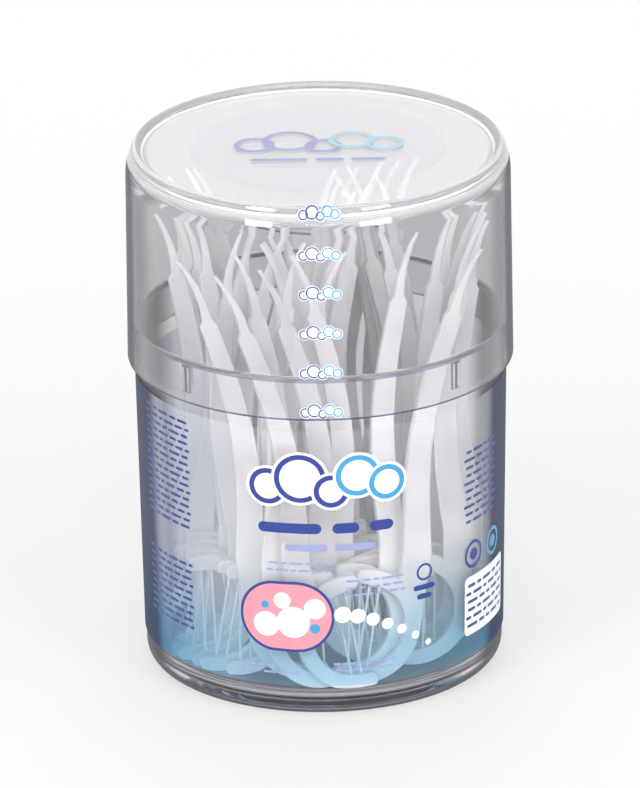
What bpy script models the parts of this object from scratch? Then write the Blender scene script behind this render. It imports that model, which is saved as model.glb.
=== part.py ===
"""A clear canister of floss picks, in metres, +Z up.

A drafted cup holds fifty picks, a deep lid pushes over the cup's rim, and three clear films lie
on them: a wrap round the cup, a disc on the lid and a narrow seal down the lid's front.
The origin is the middle of the cup's underside. The front faces -Y.
"""
import math
from random import Random

import bmesh
import bpy
import numpy as np
from mathutils import Matrix, Vector
from mathutils.bvhtree import BVHTree

# Cup
CUP_HEIGHT = 0.0634
CUP_RIM_RADIUS = 0.0322
CUP_WALL = 0.0012
CUP_DRAFT = math.radians(1.0)
FOOT_FILLET = 0.0030
FOOT_RING_WIDTH = 0.0032
FOOT_RECESS = 0.0014
FLOOR_THICKNESS = 0.0016
FLOOR_FILLET = 0.0024
FILLET_POINTS = 4

# Friction ribs outside the cup's rim
RIB_COUNT = 4
RIB_FIRST_TURN = math.radians(45)
RIB_WIDTH = 0.0005
RIB_PROUD = 0.00025
RIB_HEIGHT = 0.0050
RIB_TOP_DROP = 0.0008

# Lid
LID_OVERLAP = 0.0073
LID_DRAFT = math.radians(0.42)
LID_WALL = 0.0016
SKIRT_WALL = 0.00085
SKIRT_CLEARANCE = 0.00045
SEAT_CLEARANCE = 0.0003
SHOULDER_RISE = 0.0038
SHOULDER_RUN = 0.0014
CREST_WIDTH = 0.0007
PANEL_DROP = 0.0007
PANEL_SLOPE_RUN = 0.0005
PANEL_THICKNESS = 0.0014
LID_INNER_FILLET = 0.0022
SHOULDER_POINTS = 5

# Clear films
FILM_GAP = 0.00015
FILM_THICKNESS = 0.00015
WRAP_TOP_DROP = 0.0023
WRAP_BOTTOM = 0.0060
DISC_RADIUS = 0.0222
SEAL_WIDTH = 0.0090
SEAL_EDGE_MARGIN = 0.0006
SEAL_STEPS = 4

# One floss pick, standing on its head: X runs across it, Y through it and Z along it
PICK_COUNT = 50
PICK_LENGTH = 0.0790
PICK_THICKNESS = 0.0016
BOW_DEPTH = 0.0086
BOW_HALF_SPAN = 0.0090
BOW_HALF_WIDTH = 0.0014
ARM_REACH = 0.0012
HANDLE_FOOT_RISE = 0.0035
HANDLE_FOOT_HALF_WIDTH = 0.0025
HANDLE_NECK_HALF_WIDTH = 0.0015
HANDLE_SWAY = 0.0024
POINT_LENGTH = 0.0120
POINT_HALF_WIDTH = 0.0009
POINT_TIP_HALF_WIDTH = 0.0003
POINT_TIP_THICKNESS = 0.0006
POINT_BEND = 0.0030
FLOSS_THICKNESS = 0.0004
FLOSS_SPACING = 0.0018
FLOSS_COUNT = 2
HIGH_ARM_TURN = math.radians(60)
HANDLE_SHARES = (0.0, 0.35, 0.7, 1.0)
POINT_SHARES = (0.08, 0.55, 1.0)

# How the picks stand in the canister, with free height above them
PICK_HEADROOM = 0.0104
PICK_GAP = 0.0003
FLOOR_GAP = 0.0003
ROW_PLAY = 0.0006
ROW_TURN = math.radians(12)
PITCH_STEP = 0.0001
SETTLE_ROUNDS = 420
SETTLE_SHIFT = 0.0020
SETTLE_YAW = math.radians(9)
SETTLE_LEAN = math.radians(3.5)
LARGEST_LEAN = math.radians(18)
SETTLE_RISE_SHARE = 0.5
SMALLEST_STEP_SHARE = 0.1
SETTLE_SEED = 11

ROUND_STEPS = 64
MERGE_DISTANCE = 0.00005

# Heights and radii that follow from the sizes above
FLOOR_TOP = FOOT_RECESS + FLOOR_THICKNESS
LID_EDGE = CUP_HEIGHT - LID_OVERLAP
PANEL_UNDERSIDE = FLOOR_TOP + PICK_LENGTH + PICK_HEADROOM
PANEL_TOP = PANEL_UNDERSIDE + PANEL_THICKNESS
LID_HEIGHT = PANEL_TOP + PANEL_DROP - LID_EDGE
LID_TOP = LID_EDGE + LID_HEIGHT
SHOULDER_FOOT = LID_TOP - SHOULDER_RISE
LID_SEAT = CUP_HEIGHT + SEAT_CLEARANCE
SKIRT_INNER_RADIUS = CUP_RIM_RADIUS + SKIRT_CLEARANCE
LID_EDGE_RADIUS = SKIRT_INNER_RADIUS + SKIRT_WALL
WRAP_TOP = LID_EDGE - WRAP_TOP_DROP
BOW_HEIGHT = 2 * (BOW_HALF_SPAN + BOW_HALF_WIDTH)
HANDLE_FOOT = BOW_HEIGHT + HANDLE_FOOT_RISE
HANDLE_NECK = PICK_LENGTH - POINT_LENGTH


def cup_outer_radius(height):
    """The cup narrows from its rim to its foot."""
    return CUP_RIM_RADIUS - (CUP_HEIGHT - height) * math.tan(CUP_DRAFT)


def cup_inner_radius(height):
    return cup_outer_radius(height) - CUP_WALL


def lid_outer_radius(height):
    """The lid narrows from its edge to its shoulder."""
    return LID_EDGE_RADIUS - (height - LID_EDGE) * math.tan(LID_DRAFT)


def lid_inner_radius(height):
    return lid_outer_radius(height) - LID_WALL


def arc_points(centre, size, first_turn, last_turn, count):
    """Points on an ellipse of half sizes size, both ends included."""
    turns = np.linspace(first_turn, last_turn, count)
    return [(centre[0] + size[0] * math.cos(t), centre[1] + size[1] * math.sin(t)) for t in turns]


def cup_profile():
    """From the middle of the floor up the inside, over the rim and down the outside."""
    inner_foot = cup_inner_radius(FLOOR_TOP + FLOOR_FILLET)
    outer_foot = cup_outer_radius(FOOT_FILLET)
    ring_inner = outer_foot - FOOT_FILLET - FOOT_RING_WIDTH
    points = [(0.0, FLOOR_TOP)]
    points += arc_points((inner_foot - FLOOR_FILLET, FLOOR_TOP + FLOOR_FILLET),
                         (FLOOR_FILLET, FLOOR_FILLET), -math.pi / 2, 0.0, FILLET_POINTS)
    points += [(cup_inner_radius(CUP_HEIGHT), CUP_HEIGHT), (CUP_RIM_RADIUS, CUP_HEIGHT)]
    points += arc_points((outer_foot - FOOT_FILLET, FOOT_FILLET),
                         (FOOT_FILLET, FOOT_FILLET), 0.0, -math.pi / 2, FILLET_POINTS)
    points += [(ring_inner, 0.0), (ring_inner - FOOT_RECESS, FOOT_RECESS), (0.0, FOOT_RECESS)]
    return points


def lid_outer_profile():
    """From the panel's edge over the crest and the shoulder, down to the lid's edge."""
    shoulder_radius = lid_outer_radius(SHOULDER_FOOT)
    crest_radius = shoulder_radius - SHOULDER_RUN
    points = [(crest_radius - CREST_WIDTH - PANEL_SLOPE_RUN, PANEL_TOP),
              (crest_radius - CREST_WIDTH, LID_TOP)]
    points += arc_points((crest_radius, SHOULDER_FOOT), (SHOULDER_RUN, SHOULDER_RISE),
                         math.pi / 2, 0.0, SHOULDER_POINTS)
    return points + [(LID_EDGE_RADIUS, LID_EDGE)]


def lid_profile():
    """From the middle of the panel over the outside, up the skirt, over the seat and up inside."""
    inner_top = lid_inner_radius(PANEL_UNDERSIDE - LID_INNER_FILLET)
    points = [(0.0, PANEL_TOP)] + lid_outer_profile()
    points += [(SKIRT_INNER_RADIUS, LID_EDGE), (SKIRT_INNER_RADIUS, LID_SEAT)]
    points += [(lid_inner_radius(LID_SEAT), LID_SEAT)]
    points += arc_points((inner_top - LID_INNER_FILLET, PANEL_UNDERSIDE - LID_INNER_FILLET),
                         (LID_INNER_FILLET, LID_INNER_FILLET), 0.0, math.pi / 2, FILLET_POINTS)
    return points + [(0.0, PANEL_UNDERSIDE)]


def offset_profile(points, distance):
    """The same line moved to its outer side, which is on the left as it runs down the lid."""
    line = [Vector(p) for p in points]
    moved = []
    for i, point in enumerate(line):
        along = (line[min(i + 1, len(line) - 1)] - line[max(i - 1, 0)]).normalized()
        moved.append((point.x - along.y * distance, point.y + along.x * distance))
    return moved


def clear_scene():
    for item in list(bpy.data.objects):
        bpy.data.objects.remove(item, do_unlink=True)


def new_collection(name):
    collection = bpy.data.collections.new(name)
    bpy.context.scene.collection.children.link(collection)
    return collection


def new_material(name, colour, roughness, transmission=0.0):
    material = bpy.data.materials.new(name)
    material.use_nodes = True
    shader = material.node_tree.nodes["Principled BSDF"]
    shader.inputs["Base Color"].default_value = (*colour, 1.0)
    shader.inputs["Roughness"].default_value = roughness
    shader.inputs["Metallic"].default_value = 0.0
    shader.inputs["Transmission Weight"].default_value = transmission
    return material


def new_object(name, mesh, collection, material=None):
    item = bpy.data.objects.new(name, mesh)
    collection.objects.link(item)
    if material:
        item.data.materials.append(material)
    return item


def line_mesh(name, points, closed=False):
    """A profile at +X, as a chain of edges."""
    count = len(points)
    edges = [(i, (i + 1) % count) for i in range(count if closed else count - 1)]
    mesh = bpy.data.meshes.new(name)
    mesh.from_pydata([(x, 0.0, z) for x, z in points], edges, [])
    return mesh


def turned(name, points, collection, material, closed=False, turn=math.tau, steps=ROUND_STEPS):
    """A profile turned round Z."""
    item = new_object(name, line_mesh(name, points, closed), collection, material)
    screw = item.modifiers.new("turn", "SCREW")
    screw.angle = turn
    screw.steps = steps
    screw.render_steps = steps
    screw.use_merge_vertices = True
    screw.merge_threshold = MERGE_DISTANCE
    screw.use_smooth_shade = True
    return item


def make_cup(collection, cutters, material):
    cup = turned("base_cup", cup_profile(), collection, material)
    rib_middle = CUP_HEIGHT - RIB_TOP_DROP - RIB_HEIGHT / 2
    for number in range(RIB_COUNT):
        turn = RIB_FIRST_TURN + number * math.tau / RIB_COUNT
        depth = CUP_WALL / 2 + RIB_PROUD
        middle = cup_outer_radius(rib_middle) + RIB_PROUD - depth / 2
        box = bmesh.new()
        bmesh.ops.create_cube(box, size=1.0)
        bmesh.ops.scale(box, vec=(depth, RIB_WIDTH, RIB_HEIGHT), verts=box.verts)
        bmesh.ops.translate(box, vec=(middle, 0.0, rib_middle), verts=box.verts)
        bmesh.ops.rotate(box, matrix=Matrix.Rotation(turn, 3, "Z"), verts=box.verts)
        mesh = bpy.data.meshes.new(f"rib_{number + 1}")
        box.to_mesh(mesh)
        box.free()
        rib = new_object(f"rib_{number + 1}", mesh, cutters)
        rib.hide_render = True
        rib.display_type = "WIRE"
        join = cup.modifiers.new(f"rib_{number + 1}", "BOOLEAN")
        join.operation = "UNION"
        join.object = rib
    return cup


def make_wrap(collection, material):
    """The printed film round the cup, a closed band."""
    def beside(height, distance):
        return (cup_outer_radius(height) + distance, height)
    outer = FILM_GAP + FILM_THICKNESS
    band = [beside(WRAP_TOP, outer), beside(WRAP_BOTTOM, outer),
            beside(WRAP_BOTTOM, FILM_GAP), beside(WRAP_TOP, FILM_GAP)]
    return turned("wrap_label", band, collection, material, closed=True)


def make_disc(collection, material):
    """The round film on the lid's panel."""
    disc = bmesh.new()
    bmesh.ops.create_cone(disc, cap_ends=True, segments=ROUND_STEPS, radius1=DISC_RADIUS,
                          radius2=DISC_RADIUS, depth=FILM_THICKNESS)
    mesh = bpy.data.meshes.new("lid_label")
    disc.to_mesh(mesh)
    disc.free()
    item = new_object("lid_label", mesh, collection, material)
    item.location.z = PANEL_TOP + FILM_GAP + FILM_THICKNESS / 2
    return item


def make_seal(collection, material):
    """The narrow film that runs over the crest and down the lid's front."""
    outside = lid_outer_profile()[1:]
    outside[-1] = (lid_outer_radius(LID_EDGE + SEAL_EDGE_MARGIN), LID_EDGE + SEAL_EDGE_MARGIN)
    turn = SEAL_WIDTH / LID_EDGE_RADIUS
    film = turned("seal_strip", offset_profile(outside, FILM_GAP), collection, material,
                  turn=turn, steps=SEAL_STEPS)
    film.rotation_euler.z = -math.pi / 2 - turn / 2
    shell = film.modifiers.new("film", "SOLIDIFY")
    shell.thickness = FILM_THICKNESS
    shell.offset = 1.0
    return film


def bow_point(turn, outward):
    """A point beside the bow's middle line, from -90 degrees at the low arm to 90 at the high."""
    return (BOW_DEPTH + BOW_HALF_WIDTH - (BOW_DEPTH + outward) * math.cos(turn),
            BOW_HEIGHT / 2 + (BOW_HALF_SPAN + outward) * math.sin(turn))


def handle_edge(share, side, grow):
    """A point on the handle's left (-1) or right (1) edge, share of the way to its neck."""
    half = HANDLE_FOOT_HALF_WIDTH + (HANDLE_NECK_HALF_WIDTH - HANDLE_FOOT_HALF_WIDTH) * share
    sway = HANDLE_SWAY * math.sin(math.pi * share)
    return (HANDLE_FOOT_HALF_WIDTH + sway + side * (half + grow),
            HANDLE_FOOT + (HANDLE_NECK - HANDLE_FOOT) * share)


def point_edge(share, side, grow):
    """A point on the toothpick's edge, share of the way from its shoulder to its tip."""
    half = POINT_HALF_WIDTH + (POINT_TIP_HALF_WIDTH - POINT_HALF_WIDTH) * share
    bend = POINT_BEND * share * share
    height = HANDLE_NECK + (POINT_LENGTH + grow) * share
    return (HANDLE_FOOT_HALF_WIDTH - bend + side * (half + grow), height)


def arm_end(turn, grow):
    """The round end of an arm of the bow; turn is -90 degrees for the low arm, 90 for the high."""
    arm_x, arm_z = bow_point(turn, 0.0)
    radius = BOW_HALF_WIDTH + grow
    return arc_points((arm_x + ARM_REACH, arm_z), (radius, radius), -math.pi / 3, math.pi / 3, 3)


def pick_outline(grow=0.0):
    """The pick's flat outline, once round. grow moves it out on every side."""
    outer, inner = BOW_HALF_WIDTH + grow, -BOW_HALF_WIDTH - grow
    quarter = math.pi / 2
    outline = [handle_edge(share, -1, grow) for share in reversed(HANDLE_SHARES)]
    outline += [bow_point(turn, outer) for turn in np.linspace(0.0, -quarter, 5)]
    outline += arm_end(-quarter, grow)
    outline += [bow_point(turn, inner) for turn in np.linspace(-quarter, quarter, 7)]
    outline += arm_end(quarter, grow)
    outline += [bow_point(turn, outer) for turn in np.linspace(quarter, HIGH_ARM_TURN, 2)]
    outline += [handle_edge(share, 1, grow) for share in HANDLE_SHARES]
    outline += [point_edge(share, 1, grow) for share in POINT_SHARES]
    outline += [point_edge(share, -1, grow) for share in reversed(POINT_SHARES)]
    return outline


def thickness_share(height):
    """The handle keeps its thickness up to the neck, and the toothpick thins to its tip."""
    along = min(max((height - HANDLE_NECK) / POINT_LENGTH, 0.0), 1.0)
    return 1.0 - along * (1.0 - POINT_TIP_THICKNESS / PICK_THICKNESS)


def flat_solid(outline, half_thickness):
    """The outline filled and made thick, with the toothpick thinned."""
    shape = bmesh.new()
    ring = [shape.verts.new((x, -half_thickness * thickness_share(z), z)) for x, z in outline]
    face = shape.faces.new(ring)
    raised = bmesh.ops.extrude_face_region(shape, geom=[face])
    for item in raised["geom"]:
        if isinstance(item, bmesh.types.BMVert):
            item.co.y = -item.co.y
    bmesh.ops.recalc_face_normals(shape, faces=shape.faces)
    bmesh.ops.triangulate(shape, faces=shape.faces)
    return shape


def floss_places():
    """The strands' distances across the pick, the outermost at the arms' ends."""
    end = bow_point(math.pi / 2, 0.0)[0]
    return [end - number * FLOSS_SPACING for number in range(FLOSS_COUNT)]


def add_box(shape, low, high):
    """A box between two corners, added to a bmesh."""
    made = bmesh.ops.create_cube(shape, size=1.0)
    size = Vector(high) - Vector(low)
    bmesh.ops.scale(shape, vec=size, verts=made["verts"])
    bmesh.ops.translate(shape, vec=(Vector(low) + Vector(high)) / 2, verts=made["verts"])


def make_pick_mesh(cutters, material):
    """One pick with its two strands, joined once and shared by every pick."""
    shape = flat_solid(pick_outline(), PICK_THICKNESS / 2)
    mesh = bpy.data.meshes.new("pick_body")
    shape.to_mesh(mesh)
    shape.free()
    body = new_object("pick_body", mesh, cutters, material)
    half = FLOSS_THICKNESS / 2
    low_arm = bow_point(-math.pi / 2, 0.0)[1]
    high_arm = bow_point(math.pi / 2, 0.0)[1]
    strands = bmesh.new()
    for place in floss_places():
        add_box(strands, (place - half, -half, low_arm), (place + half, half, high_arm))
    strand_mesh = bpy.data.meshes.new("pick_floss")
    strands.to_mesh(strand_mesh)
    strands.free()
    floss = new_object("pick_floss", strand_mesh, cutters)
    join = body.modifiers.new("floss", "BOOLEAN")
    join.operation = "UNION"
    join.object = floss
    seen = body.evaluated_get(bpy.context.evaluated_depsgraph_get())
    joined = bpy.data.meshes.new_from_object(seen)
    joined.name = "pick"
    for item in (body, floss):
        bpy.data.objects.remove(item, do_unlink=True)
    return joined


def keep_out_shape():
    """Points and triangles of a pick grown by half the gap that picks keep, floss as one slab."""
    grow = PICK_GAP / 2
    shape = flat_solid(pick_outline(grow), PICK_THICKNESS / 2 + grow)
    half = FLOSS_THICKNESS / 2 + grow
    places = floss_places()
    add_box(shape, (min(places) - half, -half, BOW_HALF_WIDTH),
            (max(places) + half, half, BOW_HEIGHT - BOW_HALF_WIDTH))
    bmesh.ops.triangulate(shape, faces=shape.faces)
    shape.verts.ensure_lookup_table()
    points = np.array([vert.co for vert in shape.verts])
    triangles = [[vert.index for vert in face.verts] for face in shape.faces]
    shape.free()
    points[:, 0] -= sum(pick_reach()) / 2
    return points, triangles


def pick_reach():
    """How far the pick reaches across, to the toothpick's tip on the left and the arms' ends."""
    across = [x for x, _ in pick_outline()]
    return min(across), max(across)


def cavity_radius(heights):
    """The free radius inside the cup and the lid at each height, less the gap to the wall."""
    table = [(FLOOR_TOP, cup_inner_radius(FLOOR_TOP) - FLOOR_FILLET),
             (FLOOR_TOP + FLOOR_FILLET, cup_inner_radius(FLOOR_TOP + FLOOR_FILLET)),
             (CUP_HEIGHT, cup_inner_radius(CUP_HEIGHT)),
             (PANEL_UNDERSIDE - LID_INNER_FILLET, cup_inner_radius(CUP_HEIGHT)),
             (PANEL_UNDERSIDE, cup_inner_radius(CUP_HEIGHT) - LID_INNER_FILLET)]
    return np.interp(heights, [row[0] for row in table], [row[1] for row in table]) - FLOOR_GAP


class Stance:
    """Where one pick stands: its middle, its heading and how it leans."""

    def __init__(self, across, depth, yaw):
        self.place = [across, depth]
        self.yaw = yaw
        self.lean = [0.0, 0.0]

    def matrix(self):
        turn = Matrix.Rotation(self.yaw, 3, "Z") @ Matrix.Rotation(self.lean[0], 3, "Y")
        return turn @ Matrix.Rotation(self.lean[1], 3, "X")

    def moved(self, chance):
        """The same pick a small step on. Short steps come more often than long ones."""
        other = Stance(*self.place, self.yaw)
        size = chance.uniform(SMALLEST_STEP_SHARE, 1.0) ** 2

        def stepped(value, largest):
            return value + size * chance.uniform(-largest, largest)
        other.place = [stepped(value, SETTLE_SHIFT) for value in self.place]
        other.yaw = stepped(self.yaw, SETTLE_YAW)
        other.lean = [min(max(stepped(angle, SETTLE_LEAN), -LARGEST_LEAN), LARGEST_LEAN)
                      for angle in self.lean]
        return other


def standing(stance, points):
    """The pick's points where the stance puts them, its lowest point just above the floor."""
    middle = np.array([0.0, 0.0, PICK_LENGTH / 2])
    turned_points = (points - middle) @ np.array(stance.matrix()).T
    rise = FLOOR_TOP + FLOOR_GAP - turned_points[:, 2].min()
    shift = np.array([*stance.place, rise])
    return turned_points + shift, shift


def fits(placed):
    """True where every point is inside the cup and the lid."""
    return bool((np.hypot(placed[:, 0], placed[:, 1]) < cavity_radius(placed[:, 2])).all())


def row_places(depth, radius):
    """The middles of as many flat picks as a row across the cup holds, evenly spread."""
    left, right = pick_reach()
    width = right - left + ROW_PLAY
    chord = 2 * math.sqrt(max(radius ** 2 - (abs(depth) + PICK_THICKNESS) ** 2, 0.0))
    count = int(chord / width)
    spare = (chord - count * width) / (count + 1)
    return [(-chord / 2 + (number + 1) * spare + (number + 0.5) * width, depth)
            for number in range(count)]


def all_places(pitch, radius):
    """Rows at one pitch from the middle of the cup outwards."""
    places = row_places(0.0, radius)
    for row in range(1, int(radius / pitch) + 1):
        places += row_places(row * pitch, radius) + row_places(-row * pitch, radius)
    return places


def first_stances():
    """Flat upright picks in rows, as far apart as the cup allows, turned to and fro."""
    radius = cup_inner_radius(FLOOR_TOP) - FLOOR_FILLET
    pitch = radius
    places = []
    while len(places) < PICK_COUNT:
        pitch -= PITCH_STEP
        places = all_places(pitch, radius)
    stances = []
    for number, (across, depth) in enumerate(places[:PICK_COUNT]):
        place = Vector((across, depth, 0.0))
        place.rotate(Matrix.Rotation(ROW_TURN, 3, "Z"))
        yaw = ROW_TURN + (0.0 if number % 2 else math.pi)
        stances.append(Stance(place.x, place.y, yaw))
    return stances


def settled_stances():
    """Each pick in turn takes small seeded steps, so that it leans on its neighbours or the wall.

    A step is kept where it meets no other pick and no wall. Most steps that would raise the
    pick's middle aren't taken.
    """
    chance = Random(SETTLE_SEED)
    points, triangles = keep_out_shape()
    stances = first_stances()
    shapes, shifts = zip(*[standing(stance, points) for stance in stances])
    rises = [shift[2] for shift in shifts]
    trees = [BVHTree.FromPolygons(shape.tolist(), triangles) for shape in shapes]
    lows = [shape.min(axis=0) for shape in shapes]
    highs = [shape.max(axis=0) for shape in shapes]
    for _ in range(SETTLE_ROUNDS):
        for number in range(len(stances)):
            trial = stances[number].moved(chance)
            shape, shift = standing(trial, points)
            if not fits(shape):
                continue
            if shift[2] > rises[number] and chance.random() > SETTLE_RISE_SHARE:
                continue
            low, high = shape.min(axis=0), shape.max(axis=0)
            near = [i for i in range(len(stances)) if i != number
                    and (lows[i] < high).all() and (highs[i] > low).all()]
            tree = BVHTree.FromPolygons(shape.tolist(), triangles)
            if any(tree.overlap(trees[i]) for i in near):
                continue
            stances[number], trees[number] = trial, tree
            lows[number], highs[number], rises[number] = low, high, shift[2]
    return stances, points


def make_picks(collection, cutters, material):
    mesh = make_pick_mesh(cutters, material)
    mesh.transform(Matrix.Translation((-sum(pick_reach()) / 2, 0.0, -PICK_LENGTH / 2)))
    stances, points = settled_stances()
    for number, stance in enumerate(stances):
        shift = standing(stance, points)[1]
        item = new_object(f"pick_{number + 1:02d}", mesh, collection)
        item.matrix_world = Matrix.Translation(shift) @ stance.matrix().to_4x4()


def main():
    clear_scene()
    parts = new_collection("floss_pick_canister")
    cutters = new_collection("cutters")
    clear = new_material("clear_polystyrene", (0.93, 0.95, 0.96), 0.05, 0.95)
    film = new_material("clear_film", (0.75, 0.88, 0.95), 0.10, 0.80)
    white = new_material("white_plastic", (0.86, 0.86, 0.88), 0.35)

    make_cup(parts, cutters, clear)
    make_wrap(parts, film)
    make_picks(parts, cutters, white)

    lift = bpy.data.objects.new("lid_lift", None)
    lift.location.z = LID_EDGE
    parts.objects.link(lift)
    lid = turned("lid", lid_profile(), parts, clear)
    for item in (lid, make_disc(parts, film), make_seal(parts, film)):
        item.parent = lift
        item.matrix_parent_inverse = Matrix.Translation((0.0, 0.0, -LID_EDGE))


main()
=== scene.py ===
"""A clear canister of floss picks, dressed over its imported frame, in metres, +Z up."""
import math

import bmesh
import bpy
import numpy as np
from mathutils import Matrix, Vector


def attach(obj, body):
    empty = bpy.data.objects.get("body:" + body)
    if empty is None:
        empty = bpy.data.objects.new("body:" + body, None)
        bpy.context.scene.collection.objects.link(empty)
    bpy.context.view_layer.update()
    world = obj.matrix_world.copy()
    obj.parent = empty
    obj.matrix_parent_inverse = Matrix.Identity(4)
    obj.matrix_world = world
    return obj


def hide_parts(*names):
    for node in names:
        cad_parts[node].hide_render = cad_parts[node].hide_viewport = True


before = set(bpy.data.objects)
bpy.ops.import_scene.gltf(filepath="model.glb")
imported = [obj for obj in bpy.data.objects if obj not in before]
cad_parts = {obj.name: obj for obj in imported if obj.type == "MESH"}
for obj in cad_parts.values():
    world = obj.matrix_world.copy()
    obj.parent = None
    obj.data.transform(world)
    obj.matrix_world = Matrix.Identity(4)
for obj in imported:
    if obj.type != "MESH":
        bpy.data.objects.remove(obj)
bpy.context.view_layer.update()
mm = 0.001

# Base cup. The cup is injection moulded in clear polystyrene: a drafted wall on a rounded foot
# with a recessed underside. Four short ribs under its rim grip the lid.
CUP_HEIGHT = 63.4 * mm
CUP_RIM_RADIUS = 32.2 * mm
CUP_WALL = 1.2 * mm
CUP_DRAFT = math.radians(1.0)
CUP_FLOOR = 3.0 * mm
FLOOR_FILLET = 2.4 * mm
FOOT_FILLET = 3.0 * mm
FOOT_RING_WIDTH = 3.2 * mm
FOOT_RECESS = 1.4 * mm
FOOT_EDGE_ROUNDING = 0.3 * mm
RIM_ROUNDING = 0.5 * mm
RIM_BAND = 0.75 * mm
FLOOR_BAND = 0.3 * mm
RIB_TOP = CUP_HEIGHT - 0.8 * mm
RIB_FOOT = RIB_TOP - 5.0 * mm
RIB_PROUD = 0.25 * mm
RIB_TAPER = 0.4 * mm
RIB_SPACING_DEGREES = 90
ROUND_STEPS = 192
HALF_STEP_DEGREES = 180 / ROUND_STEPS + 0.1
MERGE_DISTANCE = 0.001 * mm
CREASE_ANGLE = math.radians(40)


def cup_radius(height):
    """The cup narrows from its rim to its foot."""
    return CUP_RIM_RADIUS - (CUP_HEIGHT - height) * math.tan(CUP_DRAFT)


def spun(corners):
    """A profile of (radius, height, rounding) corners, rounded and spun once round Z."""
    shape = bmesh.new()
    chain = [shape.verts.new((radius, 0.0, height)) for radius, height, _ in corners]
    for first, second in zip(chain, chain[1:]):
        shape.edges.new((first, second))
    for vert, (_, _, rounding) in zip(chain, corners):
        if rounding:
            bmesh.ops.bevel(shape, geom=[vert], offset=rounding, offset_type="OFFSET",
                            affect="VERTICES", segments=6, profile=0.5, material=-1)
    bmesh.ops.spin(shape, geom=shape.verts[:] + shape.edges[:], cent=(0, 0, 0), axis=(0, 0, 1),
                   angle=math.tau, steps=ROUND_STEPS, use_merge=True)
    bmesh.ops.remove_doubles(shape, verts=shape.verts, dist=MERGE_DISTANCE)
    bmesh.ops.recalc_face_normals(shape, faces=shape.faces)
    return shape


def piece(name, shape, materials, body):
    """The finished mesh as an object that rides on its body, shaded smooth."""
    mesh = bpy.data.meshes.new(name)
    shape.to_mesh(mesh)
    shape.free()
    for material in materials:
        mesh.materials.append(material)
    mesh.shade_smooth()
    mesh.set_sharp_from_angle(angle=CREASE_ANGLE)
    item = bpy.data.objects.new(name, mesh)
    bpy.context.scene.collection.objects.link(item)
    even = item.modifiers.new("even_shading", "WEIGHTED_NORMAL")
    even.keep_sharp = True
    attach(item, body)
    return item


def linear(hex_colour):
    """An sRGB colour written as hex, as the linear values that shaders take."""
    parts = [int(hex_colour[start:start + 2], 16) / 255 for start in (0, 2, 4)]
    return [part / 12.92 if part <= 0.04045 else ((part + 0.055) / 1.055) ** 2.4
            for part in parts] + [1.0]


def add_node(tree, kind, sockets=None, **settings):
    """Adds one node with its settings; each socket takes a value or another node's output."""
    node = tree.nodes.new(kind)
    for name, value in settings.items():
        setattr(node, name, value)
    for name, value in (sockets or {}).items():
        if isinstance(value, bpy.types.NodeSocket):
            tree.links.new(value, node.inputs[name])
        else:
            node.inputs[name].default_value = value
    return node


def new_material(name):
    """A material with an empty tree, and its output node."""
    material = bpy.data.materials.new(name)
    material.use_nodes = True
    material.node_tree.nodes.clear()
    return material, material.node_tree, add_node(material.node_tree, "ShaderNodeOutputMaterial")


FLOW_WAVE = 14 * mm
WAVE_DEPTH = 0.3 * mm
POLYSTYRENE_IOR = 1.57
EDGE_RAMP = 0.22
EDGE_SHADE_SHARE = 0.8


def moulded_clear(name, colour, roughness, edge_grey, edge_start=0.5, milk=0.0):
    """General-purpose polystyrene: glassy, a little grey, with the faint waves of its flow.

    From edge_start on, as it turns from facing to edge on, it goes grey by edge_grey: its colour
    darkens for the longer path along the wall, and a matte grey mixed in is painted shade for the
    dark edges that refraction shows. Milk is how much of it scatters white: painted light, which
    brightens it. Light that only passes it on the way to something else goes straight through.
    """
    material, tree, out = new_material(name)
    place = add_node(tree, "ShaderNodeTexCoord")
    waves = add_node(tree, "ShaderNodeTexNoise", {"Vector": place.outputs["Object"],
                                                 "Scale": 1 / FLOW_WAVE, "Detail": 1.0})
    bump = add_node(tree, "ShaderNodeBump", {"Height": waves.outputs["Fac"],
                                            "Strength": 0.04, "Distance": WAVE_DEPTH})
    wall = add_node(tree, "ShaderNodeBsdfPrincipled", {
        "Base Color": linear(colour), "Transmission Weight": 1.0, "Roughness": roughness,
        "IOR": POLYSTYRENE_IOR, "Normal": bump.outputs["Normal"]})
    if edge_grey:
        # Painted shade: edge on, the colour darkens and a matte grey is mixed in.
        slant = add_node(tree, "ShaderNodeLayerWeight", {"Blend": 0.5})
        edge = add_node(tree, "ShaderNodeMapRange", {
            "Value": slant.outputs["Facing"], "From Min": edge_start,
            "From Max": edge_start + EDGE_RAMP, "To Max": edge_grey},
            interpolation_type="SMOOTHSTEP")
        tint = add_node(tree, "ShaderNodeMix", {0: edge.outputs["Result"], 6: linear(colour),
                                               7: linear("49474D")}, data_type="RGBA")
        tree.links.new(tint.outputs[2], wall.inputs["Base Color"])
        edge_shade_share = add_node(tree, "ShaderNodeMath", {0: edge.outputs["Result"], 1: EDGE_SHADE_SHARE},
                        operation="MULTIPLY")
        grey = add_node(tree, "ShaderNodeBsdfDiffuse", {"Color": linear("656369")})
        wall = add_node(tree, "ShaderNodeMixShader", {0: edge_shade_share.outputs[0], 1: wall.outputs[0],
                                                     2: grey.outputs[0]})
    # Painted light: a matte white mixed in by milk.
    if milk:
        white = add_node(tree, "ShaderNodeBsdfDiffuse", {"Color": linear("F7F7F9")})
        wall = add_node(tree, "ShaderNodeMixShader", {0: milk, 1: wall.outputs[0],
                                                     2: white.outputs[0]})
    shade = add_node(tree, "ShaderNodeBsdfTransparent", {"Color": linear("F7F7F9")})
    path = add_node(tree, "ShaderNodeLightPath")
    mix = add_node(tree, "ShaderNodeMixShader", {0: path.outputs["Is Shadow Ray"],
                                                1: wall.outputs[0], 2: shade.outputs[0]})
    tree.links.new(mix.outputs[0], out.inputs["Surface"])
    return material
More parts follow.
